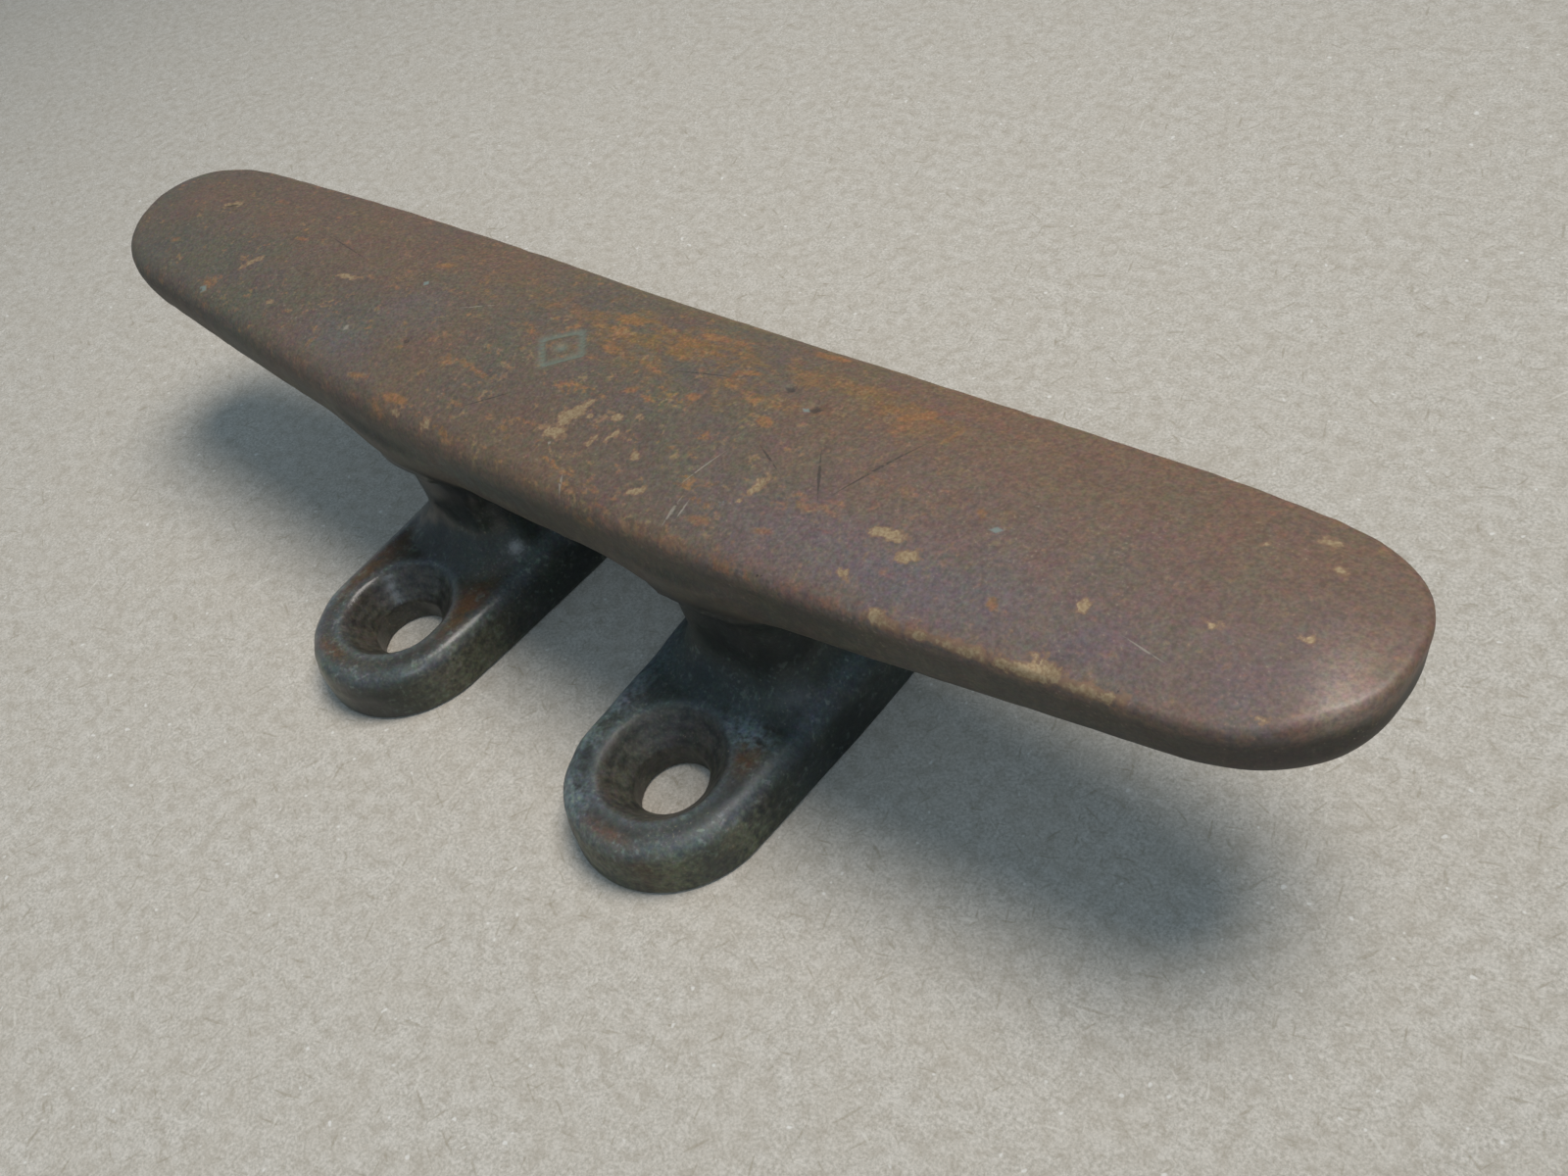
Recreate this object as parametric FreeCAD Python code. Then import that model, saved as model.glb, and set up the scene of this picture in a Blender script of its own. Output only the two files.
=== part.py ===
import FreeCAD, Part
import math
import os

# Open-base horn cleat, sand-cast bronze, one casting of about 165 mm.
# Units are millimetres and +Z is up. The origin lies on the mounting plane, midway between
# the four screw holes. The horn runs along X and the two feet run along Y.
# The casting is written as three regions that meet on one level plane across the legs:
# the horn bar above it and the left and right foot below it.

# ---------------------------------------------------------------- horn
horn_length = 165.0
half_length = horn_length / 2.0
underside_middle = 20.0     # lowest line of the horn, clear of the legs
underside_tip = 25.9        # the arms rise to this height
underside_power = 1.56
ridge_middle = 28.5         # height of the edge between the top face and the flanks
ridge_tip = 31.3
crown_rise = 2.1            # dome of the top face above the ridges at the middle
half_width_middle = 14.9
half_width_loss = 4.5       # the plan narrows by this much, as a parabola, to each tip
waist = 1.1                 # further narrowing along the arms, none at the middle or the tips
flank_lean = 0.7            # the flanks lean in by this much towards the underside
top_edge_radius = 1.6
bottom_edge_radius = 2.8
tip_plan_round = 13.8       # length over which the plan closes at a tip
tip_plan_power = 2.7
tip_side_round = 3.0        # length over which the thickness closes at a tip
tip_flat = 0.25             # small flat left at the very end of each tip
arm_stations = [0.0, 14.0, 28.0, 40.0, 50.0, 58.0, 64.0]    # sections before the tip closes
tip_stations = 9            # sections while it closes

# ---------------------------------------------------------------- feet
foot_spacing = 42.5         # between the two feet, along X
hole_spacing = 46.5         # between the two screw holes of one foot, along Y
foot_end_radius = 10.8
foot_half_width = 11.5      # at the middle of the foot
foot_height = 6.3
foot_edge_radius = 2.1

# ---------------------------------------------------------------- screw holes, no. 14 flat head
hole_radius = 3.9
sink_radius = 6.7
sink_angle = 82.0
hole_room = 5.0             # the cutting shape runs on this far below and above the foot

# ---------------------------------------------------------------- legs
leg_half_x = 7.4            # at the narrowest height
leg_half_y = 11.7
leg_corner = 4.0
leg_cove = 5.0              # hollow curve from the leg down to the foot
cove_limit = 0.98           # share of that curve's quarter circle that is used
leg_foot_limit = 9.2        # the curve stops here along X, short of the foot's rounded edge
flare_along = 7.8           # the leg swings outwards along X as it meets the horn
flare_along_limit = 0.94
flare_across = 5.5          # and less so along Y
flare_across_limit = 0.7
leg_top = 22.4              # the leg ends inside the horn
leg_heights = [5.4, 6.5, 7.2, 8.2, 9.6, 11.3, 13.6, 15.6, 17.2, 18.4, 19.2, 20.0, 20.8, leg_top]
joint_plane = 12.0          # the level plane that divides horn and feet

# ---------------------------------------------------------------- stamped diamond on the top
mark_x = -5.5
mark_y = 1.0
mark_half = 3.0
mark_line = 0.7
mark_depth = 0.35
mark_low = 25.0             # the cutting shapes start inside the horn and end above it
mark_tall = 12.0


def vec(x, y, z):
    return FreeCAD.Vector(x, y, z)


def close_plan(distance):
    """Share of the full width left at this distance from the middle."""
    t = max(0.0, (distance - half_length + tip_plan_round) / tip_plan_round)
    return (1.0 - t ** tip_plan_power) ** (1.0 / tip_plan_power)


def close_side(distance):
    """Share of the full thickness left at this distance from the middle."""
    t = max(0.0, (distance - half_length + tip_side_round) / tip_side_round)
    return math.sqrt(1.0 - t * t)


def underside_height(x):
    along = abs(x) / half_length
    return underside_middle + (underside_tip - underside_middle) * along ** underside_power


def horn_section(x):
    """Closed cross-section of the horn at x: crown, two ridges, leaning flanks, underside."""
    distance = abs(x)
    along = distance / half_length
    width = half_width_middle - half_width_loss * along ** 2 - waist * along ** 2 * (1.0 - along ** 2)
    width = width * close_plan(distance)
    top = ridge_middle + (ridge_tip - ridge_middle) * along ** 2 * (2.0 - along ** 2)
    bottom = underside_height(x)
    middle = (top + bottom) / 2.0
    closing = close_side(distance)
    top = middle + (top - middle) * closing
    bottom = middle + (bottom - middle) * closing
    thickness = top - bottom
    crown = crown_rise * (width / half_width_middle) ** 2 * closing
    inset = flank_lean * thickness / (ridge_middle - underside_middle)
    r_top = min(top_edge_radius, 0.3 * thickness, 0.3 * width)
    r_bottom = min(bottom_edge_radius, 0.45 * thickness, 0.45 * width)
    low = width - inset
    arc_inset = 1.0 - math.sqrt(0.5)    # a quarter circle's middle lies this far inside its corner

    # ridge arc: starts on the crown, a little over its radius from the edge, and ends on the flank
    a = vec(x, width - r_top * 1.1, top)
    b = vec(x, width - r_top * arc_inset, top - r_top * arc_inset)
    c = vec(x, width - inset * 0.1, top - r_top * 1.1)
    # lower arc: from the flank to the underside
    d = vec(x, low + inset * r_bottom / thickness, bottom + r_bottom)
    e = vec(x, low - r_bottom * arc_inset, bottom + r_bottom * arc_inset)
    f = vec(x, low - r_bottom, bottom)
    peak = vec(x, 0.0, top + crown)

    def mirrored(p):
        return vec(p.x, -p.y, p.z)

    edges = [
        Part.Arc(mirrored(a), peak, a).toShape(),
        Part.Arc(a, b, c).toShape(),
        Part.LineSegment(c, d).toShape(),
        Part.Arc(d, e, f).toShape(),
        Part.LineSegment(f, mirrored(f)).toShape(),
        Part.Arc(mirrored(f), mirrored(e), mirrored(d)).toShape(),
        Part.LineSegment(mirrored(d), mirrored(c)).toShape(),
        Part.Arc(mirrored(c), mirrored(b), mirrored(a)).toShape(),
    ]
    return Part.Wire(edges)


def make_horn():
    """Loft through sections that crowd together towards each rounded tip."""
    last_angle = math.asin(1.0 - tip_flat / tip_plan_round)
    stations = list(arm_stations)
    for k in range(tip_stations):
        closed = math.sin(last_angle * k / (tip_stations - 1))
        stations.append(half_length - tip_plan_round * (1.0 - closed))
    stations = [-x for x in reversed(stations[1:])] + stations
    sections = [horn_section(x) for x in stations]
    return Part.makeLoft(sections, True, False)


def rounded_rectangle(cx, z, half_x, half_y, radius):
    """Level rounded rectangle, centred on the foot."""
    sx = half_x - radius
    sy = half_y - radius
    k = radius * math.sqrt(0.5)
    edges = []
    corners = [(1, -1), (1, 1), (-1, 1), (-1, -1)]
    for i, (qx, qy) in enumerate(corners):
        centre = vec(cx + qx * sx, qy * sy, z)
        mid = centre + vec(qx * k, qy * k, 0)
        along_x = centre + vec(qx * radius, 0, 0)
        along_y = centre + vec(0, qy * radius, 0)
        first, last = (along_y, along_x) if i % 2 == 0 else (along_x, along_y)
        edges.append((first, mid, last))
    shapes = []
    for i in range(4):
        first, mid, last = edges[i]
        following = edges[(i + 1) % 4][0]
        shapes.append(Part.Arc(first, mid, last).toShape())
        shapes.append(Part.LineSegment(last, following).toShape())
    return Part.Wire(shapes)


def make_foot_plate(cx):
    """Long plate with round ends and faintly bowed sides; its upper edge is rounded."""
    y_end = hole_spacing / 2.0
    r = foot_end_radius
    near = vec(cx, -y_end - r, 0)
    far = vec(cx, y_end + r, 0)
    right_near = vec(cx + r, -y_end, 0)
    right_far = vec(cx + r, y_end, 0)
    left_near = vec(cx - r, -y_end, 0)
    left_far = vec(cx - r, y_end, 0)
    outline = Part.Wire([
        Part.Arc(left_near, near, right_near).toShape(),
        Part.Arc(right_near, vec(cx + foot_half_width, 0, 0), right_far).toShape(),
        Part.Arc(right_far, far, left_far).toShape(),
        Part.Arc(left_far, vec(cx - foot_half_width, 0, 0), left_near).toShape(),
    ])
    plate = Part.Face(outline).extrude(vec(0, 0, foot_height))
    upper = [e for e in plate.Edges if e.BoundBox.ZMin > foot_height - 0.01]
    return plate.makeFillet(foot_edge_radius, upper)


def swing(rise, radius, limit):
    """Sideways travel of a quarter-circle curve after rising by part of its radius."""
    share = min(max(rise / radius, 0.0), limit)
    return radius - radius * math.sqrt(1.0 - share ** 2)


def make_leg(side):
    """Upright that spreads below into its foot and above into the horn, further on its outer side."""
    leg_x = foot_spacing / 2.0
    inner_end = underside_height(leg_x - leg_half_x - flare_along * 0.6)
    outer_end = underside_height(leg_x + leg_half_x + flare_along * 0.6)
    wires = []
    for z in leg_heights:
        cove = swing(foot_height + leg_cove - z, leg_cove, cove_limit)
        inner = swing(z - inner_end + flare_along, flare_along, flare_along_limit)
        outer = swing(z - outer_end + flare_along, flare_along, flare_along_limit)
        across = swing(z - underside_middle + flare_across, flare_across, flare_across_limit)
        half_x = min(leg_half_x + cove, leg_foot_limit) + (inner + outer) / 2.0
        half_y = leg_half_y + cove + across
        corner = leg_corner + 0.5 * cove + 0.2 * (inner + outer)
        cx = side * (leg_x + (outer - inner) / 2.0)
        wires.append(rounded_rectangle(cx, z, half_x, half_y, corner))
    return Part.makeLoft(wires, True, False)


def make_screw_hole(cx, cy):
    """Cutting shape of one hole: bore, countersink, and room above it for the screw head."""
    bore = Part.makeCylinder(hole_radius, foot_height + 2.0 * hole_room, vec(cx, cy, -hole_room))
    depth = (sink_radius - hole_radius) / math.tan(math.radians(sink_angle / 2.0))
    cone = Part.makeCone(hole_radius, sink_radius, depth, vec(cx, cy, foot_height - depth))
    head_room = Part.makeCylinder(sink_radius, hole_room, vec(cx, cy, foot_height))
    return bore.fuse(cone).fuse(head_room)


def diamond(half):
    """Upright diamond-shaped prism at the mark's place."""
    corners = [
        vec(mark_x + half, mark_y, mark_low), vec(mark_x, mark_y + half, mark_low),
        vec(mark_x - half, mark_y, mark_low), vec(mark_x, mark_y - half, mark_low),
    ]
    return Part.Face(Part.makePolygon(corners + corners[:1])).extrude(vec(0, 0, mark_tall))


def make_mark():
    """Cutting shape of the mark: outline of a small diamond with a dot in it."""
    ring = diamond(mark_half).cut(diamond(mark_half - mark_line * math.sqrt(2.0)))
    dot = Part.makeCylinder(mark_line * 0.7, mark_tall, vec(mark_x, mark_y, mark_low))
    return ring.fuse(dot)


def slab(z_low, z_high):
    """Level slice of space, wider than the casting."""
    corner = vec(-horn_length, -half_length, z_low)
    return Part.makeBox(2.0 * horn_length, horn_length, z_high - z_low, corner)


horn = make_horn()
mark_floor = horn.copy()
mark_floor.translate(vec(0, 0, -mark_depth))
groove = make_mark().cut(mark_floor)

body = horn
for side in (-1, 1):
    foot = make_foot_plate(side * foot_spacing / 2.0).fuse(make_leg(side))
    body = body.fuse(foot)
for side in (-1, 1):
    for end in (-1, 1):
        hole = make_screw_hole(side * foot_spacing / 2.0, end * hole_spacing / 2.0)
        body = body.cut(hole)
body = body.cut(groove)

os.makedirs("parts", exist_ok=True)
upper = body.common(slab(joint_plane, 2.0 * ridge_tip))
lower = body.common(slab(-hole_room, joint_plane))
feet = sorted(lower.Solids, key=lambda s: s.CenterOfMass.x)
regions = {
    "horn_bar": upper.Solids[0],
    "foot_left": feet[0],
    "foot_right": feet[-1],
}
for name, shape in regions.items():
    shape.exportStep("parts/" + name + ".step")
    box = shape.BoundBox
    size = (round(box.XLength, 2), round(box.YLength, 2), round(box.ZLength, 2))
    print(name, shape.isValid(), round(shape.Volume), size)
print("solids", len(upper.Solids), len(lower.Solids))
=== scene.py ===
import math

import bmesh
import bpy
import numpy as np
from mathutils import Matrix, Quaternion, Vector


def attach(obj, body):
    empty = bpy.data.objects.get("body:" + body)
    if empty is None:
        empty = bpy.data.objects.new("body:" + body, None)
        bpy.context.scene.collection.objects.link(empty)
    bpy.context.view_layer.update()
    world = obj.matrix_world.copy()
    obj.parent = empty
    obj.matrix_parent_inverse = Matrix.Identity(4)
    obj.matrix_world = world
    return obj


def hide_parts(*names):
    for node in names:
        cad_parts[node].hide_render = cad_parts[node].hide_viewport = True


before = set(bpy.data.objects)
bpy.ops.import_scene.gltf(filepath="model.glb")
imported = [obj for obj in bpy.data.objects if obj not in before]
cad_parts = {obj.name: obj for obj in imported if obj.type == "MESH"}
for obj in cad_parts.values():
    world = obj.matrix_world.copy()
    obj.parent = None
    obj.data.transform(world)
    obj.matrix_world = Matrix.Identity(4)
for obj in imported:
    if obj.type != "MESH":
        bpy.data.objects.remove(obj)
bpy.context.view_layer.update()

MM = 0.001

# ------------------------------------------------------------------ sizes, in millimetres
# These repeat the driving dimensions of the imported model.
HALF_LENGTH = 82.5
HALF_WIDTH = 14.9
WIDTH_LOSS = 4.5
WAIST = 1.1
UNDERSIDE = 20.0
UNDERSIDE_TIP = 25.9
UNDERSIDE_POWER = 1.56
RIDGE_MIDDLE = 28.5
RIDGE_TIP = 31.3
CROWN = 2.1
FLANK_LEAN = 0.7
TIP_ROUND = 13.8
TIP_POWER = 2.7
BOTTOM_RADIUS = 2.8
FOOT_X = 21.25
HOLE_Y = 23.25
FOOT_END = 10.8
FOOT_BOW = 0.7
FOOT_TOP = 6.3
FOOT_EDGE = 2.1
NECK_HALF_X = 7.4
NECK_HALF_Y = 11.7
NECK_CORNER = 4.0
NECK_COVE = 5.0             # hollow curve from the leg down to the foot
FLARE_ALONG = 7.8
FLARE_ACROSS = 5.5
HOLE_RADIUS = 3.9
SINK_RADIUS = 6.7
SINK_ANGLE = 82.0
JOINT_PLANE = 12.0

# These belong to the skin only: wear by rope, and the finer detail of the casting.
RIDGE_RADIUS = 1.5
CRISP_RIGHT = 0.7           # the ridges are sharper by this much along the right arm
CRISP_TIP = 0.2             # and by this much at the tips
SOFT_RIDGE = 1.3            # they are rounder by this much where rope has softened them
CORNER_CHAFE = 1.2
LEG_FILLET = 2.4            # where the legs run into the horn
FLARE_ALONG_LIMIT = 0.95    # share of each flare's quarter circle that is used
FLARE_ACROSS_LIMIT = 0.8
CORNER_GROWTH = 0.35        # the leg's corner radius grows by this share of its flare
LEG_INSIDE = 3.0            # the legs end this far inside the horn
BASE_TOP = 4.1              # the foot's base ends in a faint step at this height
BASE_DRAFT = 0.06
BASE_PROUD = 0.25
BASE_EDGE = 0.7
RIM_INSET = 0.1
SOLE_EDGE = 0.5
FINE_EDGE = 0.35            # in the step and round the screw holes
CONE_SCALE = 0.83           # keeps the field of a screw hole close to a true distance
GRID_LOW = (-84.25, -36.25, -1.25)
GRID_HIGH = (84.5, 36.5, 33.5)
CELL = 0.45
TINY = 1e-6


# ------------------------------------------------------------------ curves
def ramp(value, start, end):
    """0 before start, 1 past end, straight between them. The end may be the lower one."""
    return np.clip((value - start) / (end - start), 0.0, 1.0)


def smooth(share):
    """Ease a share in and out."""
    return share * share * (3.0 - 2.0 * share)


def bell(value, middle, half):
    """Bell curve: 1 at the middle and about a third at a distance of half from it."""
    return np.exp(-((value - middle) / half) ** 2)


# ------------------------------------------------------------------ the casting as one field
# A field gives the distance to the surface of a shape in millimetres, negative inside the shape.
# horn, foot_plate, neck, screw_hole and casting are fields.
def round_and(a, b, radius):
    """Overlap of two shapes whose common edge is rounded."""
    inner = np.minimum(np.maximum(a, b), -radius)
    return inner + np.hypot(np.maximum(a + radius, 0.0), np.maximum(b + radius, 0.0))


def round_or(a, b, radius):
    """Union of two shapes with a hollow fillet between them."""
    outer = np.maximum(np.minimum(a, b), radius)
    return outer - np.hypot(np.maximum(radius - a, 0.0), np.maximum(radius - b, 0.0))


def along_arm(x):
    """0 at the middle of the horn, 1 at its tips."""
    return np.abs(x) / HALF_LENGTH


def ridge_height(x):
    """Height of the edge between the top of the horn and its flanks."""
    along = along_arm(x)
    return RIDGE_MIDDLE + (RIDGE_TIP - RIDGE_MIDDLE) * along ** 2 * (2.0 - along ** 2)


def underside_height(x):
    return UNDERSIDE + (UNDERSIDE_TIP - UNDERSIDE) * along_arm(x) ** UNDERSIDE_POWER


def flank_lean(x, z):
    """How far the flanks have leaned in at height z."""
    ridge = ridge_height(x)
    under = underside_height(x)
    return FLANK_LEAN * ramp(z, ridge, under) * (ridge - under) / (RIDGE_MIDDLE - UNDERSIDE)


def half_width(x, lean):
    """Half the width of the horn, clear of the rounding of its tips."""
    along = along_arm(x)
    return HALF_WIDTH - WIDTH_LOSS * along ** 2 - WAIST * along ** 2 * (1.0 - along ** 2) - lean


def horn_plan(x, y, z):
    """Distance from the plan outline of the horn at height z."""
    lean = flank_lean(x, z)
    width = half_width(x, lean)
    a = np.abs(y) / width
    b = np.maximum(0.0, np.abs(x) - HALF_LENGTH + TIP_ROUND + lean) / TIP_ROUND
    reach = (a ** TIP_POWER + b ** TIP_POWER) ** (1.0 / TIP_POWER) + TINY
    steep_y = (a / reach) ** (TIP_POWER - 1.0) / width
    steep_x = (b / reach) ** (TIP_POWER - 1.0) / TIP_ROUND
    return (reach - 1.0) / (np.hypot(steep_y, steep_x) + TINY)


def softened(x, y):
    """1 where rope has rounded a ridge: the front one left of the middle, the far one over the legs."""
    front = smooth(ramp(x, 32.0, -8.0)) * ramp(y, 0.0, -6.0)
    far = bell(x, 4.0, 34.0) * ramp(y, 0.0, 6.0)
    return front + far


def chafe(x, y, z):
    """How far rope has cut back the front corner of the right tip, most of all along its ridge."""
    corner = bell(x, 80.0, 4.5) * bell(y, -7.5, 4.5)
    return CORNER_CHAFE * corner * ramp(z, underside_height(x), ridge_height(x))


def horn(x, y, z):
    """Crowned bar that narrows and rises to both tips, with two ridges and leaning flanks."""
    width = half_width(x, flank_lean(x, z))
    top = ridge_height(x) + CROWN * (width / HALF_WIDTH) ** 2 * (1.0 - (y / width) ** 2)
    crisp = CRISP_RIGHT * ramp(x, 34.0, 60.0) + CRISP_TIP * along_arm(x) ** 3
    ridge_radius = RIDGE_RADIUS - crisp + SOFT_RIDGE * softened(x, y)
    body = round_and(horn_plan(x, y, z) + chafe(x, y, z), z - top, ridge_radius)
    return round_and(body, underside_height(x) - z, BOTTOM_RADIUS)


def foot_plate(x, y, z):
    """Round-ended plate with bowed sides: a drafted base, a faint step and a rounded rim."""
    past = np.maximum(np.abs(y) - HOLE_Y, 0.0)
    bow = FOOT_BOW * np.maximum(0.0, 1.0 - (y / HOLE_Y) ** 2)
    side = np.hypot(x, past) - FOOT_END - bow
    base = round_and(side + BASE_DRAFT * z - BASE_PROUD, z - BASE_TOP, BASE_EDGE)
    rim = round_and(side + RIM_INSET, z - FOOT_TOP, FOOT_EDGE)
    return round_and(round_or(base, rim, FINE_EDGE), -z, SOLE_EDGE)


def flare(below, radius, limit):
    """How far a face has swung outwards this far below the horn, and how steeply it runs."""
    rise = np.clip(radius - below, 0.0, limit * radius) / radius
    return radius - radius * np.sqrt(1.0 - rise ** 2), np.sqrt(1.0 - 0.9 * rise ** 2)


def neck(x, y, z, under):
    """Upright with rounded corners. It flares both ways as it runs up into the horn."""
    swing_x, steep_x = flare(under - z, FLARE_ALONG, FLARE_ALONG_LIMIT)
    swing_y, steep_y = flare(under - z, FLARE_ACROSS, FLARE_ACROSS_LIMIT)
    bend = NECK_CORNER + CORNER_GROWTH * swing_x
    dx = (np.abs(x) - NECK_HALF_X - swing_x) * steep_x + bend
    dy = (np.abs(y) - NECK_HALF_Y - swing_y) * steep_y + bend
    corner = np.hypot(np.maximum(dx, 0.0), np.maximum(dy, 0.0))
    wall = corner + np.minimum(np.maximum(dx, dy), 0.0) - bend
    return np.maximum(wall, z - under - LEG_INSIDE)


def screw_hole(x, y, z):
    """Bore with a countersink, open above the foot."""
    cone = SINK_RADIUS + (z - FOOT_TOP) * math.tan(math.radians(SINK_ANGLE / 2.0))
    mouth = np.clip(cone, HOLE_RADIUS, SINK_RADIUS)
    return (np.hypot(x, np.abs(y) - HOLE_Y) - mouth) * CONE_SCALE


def casting(place):
    """The whole casting: the horn on two legs with their feet, less the four screw holes."""
    x, y, z = place
    foot_x = np.abs(x) - FOOT_X
    leg = neck(foot_x, y, z, underside_height(x))
    foot = round_or(foot_plate(foot_x, y, z), leg, NECK_COVE)
    body = round_or(horn(x, y, z), foot, LEG_FILLET)
    return round_and(body, -screw_hole(foot_x, y, z), FINE_EDGE)


# ------------------------------------------------------------------ skin over the field
def crossing_points(value, cell, low):
    """A point in each cell that the zero surface crosses, and the number of that point by cell."""
    inside = value < 0.0
    shape = tuple(n - 1 for n in value.shape)
    total = np.zeros(shape + (3,), np.float32)
    count = np.zeros(shape, np.float32)
    base = np.stack(np.meshgrid(*[np.arange(n) for n in shape], indexing="ij"), -1)
    for axis in range(3):
        others = [i for i in range(3) if i != axis]
        for step in ((0, 0), (1, 0), (0, 1), (1, 1)):
            start = [0, 0, 0]
            start[others[0]], start[others[1]] = step
            near = tuple(slice(s, s + n) for s, n in zip(start, shape))
            place = (base + np.array(start)).astype(np.float32)
            start[axis] = 1
            far = tuple(slice(s, s + n) for s, n in zip(start, shape))
            a, b = value[near], value[far]
            crossed = inside[near] != inside[far]
            place[..., axis] += np.where(crossed, a / np.where(crossed, a - b, 1.0), 0.0)
            total += place * crossed[..., None]
            count += crossed
    used = count > 0
    index = np.full(shape, -1, np.int64)
    index[used] = np.arange(int(used.sum()))
    return total[used] / count[used][:, None] * cell + np.array(low), index


def crossing_quads(inside, index):
    """A quad round each grid line that the surface crosses, wound to face out of the metal."""
    quads = []
    for axis in range(3):
        u, v = (axis + 1) % 3, (axis + 2) % 3
        near = [slice(1, -1)] * 3
        far = [slice(1, -1)] * 3
        near[axis] = slice(0, -1)
        far[axis] = slice(1, None)
        a, b = inside[tuple(near)], inside[tuple(far)]
        where = np.argwhere(a != b)
        leaving = a[tuple(where.T)]
        where[:, u] += 1
        where[:, v] += 1
        corners = []
        for du, dv in ((-1, -1), (0, -1), (0, 0), (-1, 0)):
            cell = where.copy()
            cell[:, u] += du
            cell[:, v] += dv
            corners.append(index[tuple(cell.T)])
        ring = np.stack(corners, 1)
        ring[~leaving] = ring[~leaving][:, ::-1]
        quads.append(ring)
    return np.concatenate(quads)


def grid_skin(field, low, high, cell):
    """Points and quads over the zero surface of a field."""
    axes = [np.arange(lo, hi, cell) for lo, hi in zip(low, high)]
    value = field(np.meshgrid(*axes, indexing="ij")).astype(np.float32)
    points, index = crossing_points(value, cell, low)
    return points, crossing_quads(value < 0.0, index)


def field_slope(field, points, step=0.04):
    """Direction in which the field grows, at each point."""
    slope = np.empty_like(points)
    for axis in range(3):
        ahead = points.copy()
        behind = points.copy()
        ahead[:, axis] += step
        behind[:, axis] -= step
        slope[:, axis] = (field(tuple(ahead.T)) - field(tuple(behind.T))) / (2.0 * step)
    return slope


def settle(field, points, rounds=4, furthest=0.4):
    """Move points along the slope until they lie on the zero surface."""
    for _ in range(rounds):
        slope = field_slope(field, points)
        move = field(tuple(points.T)) / np.maximum((slope ** 2).sum(1), 0.2)
        points = points - slope * np.clip(move, -furthest, furthest)[:, None]
    return points


def relax(points, quads, amount=0.5):
    """Slide each point towards the middle of its neighbours, to even out the mesh."""
    total = np.zeros_like(points)
    count = np.zeros(len(points))
    for a, b in ((0, 1), (1, 2), (2, 3), (3, 0)):
        for i, j in ((a, b), (b, a)):
            np.add.at(total, quads[:, i], points[quads[:, j]])
            np.add.at(count, quads[:, i], 1.0)
    return points + amount * (total / count[:, None] - points)


# ------------------------------------------------------------------ sand-cast unevenness
def waves(points, seed, longest, shortest, number):
    """Smooth random unevenness: a sum of plane waves, mostly between -1.5 and 1.5."""
    rng = np.random.default_rng(seed)
    total = np.zeros(len(points))
    for _ in range(number):
        direction = rng.normal(size=3)
        direction /= np.linalg.norm(direction)
        length = shortest * (longest / shortest) ** rng.random()
        phase = rng.random() * 2.0 * math.pi
        total += np.sin(points @ direction * (2.0 * math.pi / length) + phase)
    return total / math.sqrt(number)


def foot_share(points):
    """0 on the horn, 1 on the feet and legs, which darken in an arch under the horn's edge."""
    x, _, z = points.T
    arch = np.sqrt(np.clip(1.0 - ((np.abs(x) - FOOT_X) / 12.0) ** 2, 0.0, 1.0))
    edge = UNDERSIDE - 0.6 + 2.4 * arch
    return smooth(ramp(z, edge, edge - 1.6))


def uneven(points):
    """How far the sand-cast surface stands proud of the ideal one."""
    foot = foot_share(points)
    lift = 0.085 * waves(points, 3, 42.0, 16.0, 14)
    lift += (0.022 + 0.030 * foot) * waves(points, 4, 7.0, 2.5, 40)
    return lift


# The plainest knocks on the top and ridges: x, y, radius and depth in millimetres.
KNOCKS = [
    (21.5, 6.0, 0.8, 0.35), (25.5, 4.5, 0.9, 0.30), (-24.0, -5.5, 0.5, 0.30),
    (2.5, -7.0, 1.3, 0.15), (60.0, -11.5, 1.5, 0.22), (45.0, -12.5, 0.8, 0.12),
    (27.0, -5.5, 0.7, 0.20), (29.5, 0.0, 0.6, 0.20), (53.5, -12.5, 1.0, 0.12),
]


def top_share(points):
    """1 on the upper face of the horn, fading out just below its ridge."""
    x, _, z = points.T
    ridge = ridge_height(x)
    return ramp(z, ridge - 1.4, ridge - 0.2)


def knock_depth(points):
    """The knocks above and a scatter of slight ones, half of them along the ridges."""
    x, y, _ = points.T
    rng = np.random.default_rng(8)
    knocks = list(KNOCKS)
    for _ in range(60):
        kx = rng.uniform(-74.0, 74.0)
        edge = HALF_WIDTH - WIDTH_LOSS * along_arm(kx) ** 2
        on_ridge = rng.random() < 0.5
        reach = rng.uniform(0.92, 0.99) if on_ridge else rng.uniform(0.0, 0.85)
        ky = rng.choice([-1.0, 1.0]) * edge * reach
        deepest = 0.05 if on_ridge else 0.12
        knocks.append((kx, ky, rng.uniform(0.4, 1.0), rng.uniform(0.3, 1.0) * deepest))
    depth = np.zeros(len(points))
    for kx, ky, radius, deep in knocks:
        depth += deep * bell(x, kx, radius) * bell(y, ky, radius)
    return depth * top_share(points)


# ------------------------------------------------------------------ generic stamp on the top
STAMP_X = -5.5
STAMP_Y = 1.0
STAMP_HALF = 3.0
STAMP_LINE = 0.40
STAMP_DEPTH = 0.3


def stamp_share(points):
    """Lines of a small diamond with a dot in it."""
    x, y, z = points.T
    diamond = np.abs(x - STAMP_X) + np.abs(y - STAMP_Y)
    line = bell(diamond, STAMP_HALF, STAMP_LINE)
    dot = bell(np.hypot(x - STAMP_X, y - STAMP_Y), 0.0, 1.6 * STAMP_LINE)
    return np.maximum(line, dot) * (z > RIDGE_MIDDLE - 0.5)


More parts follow.
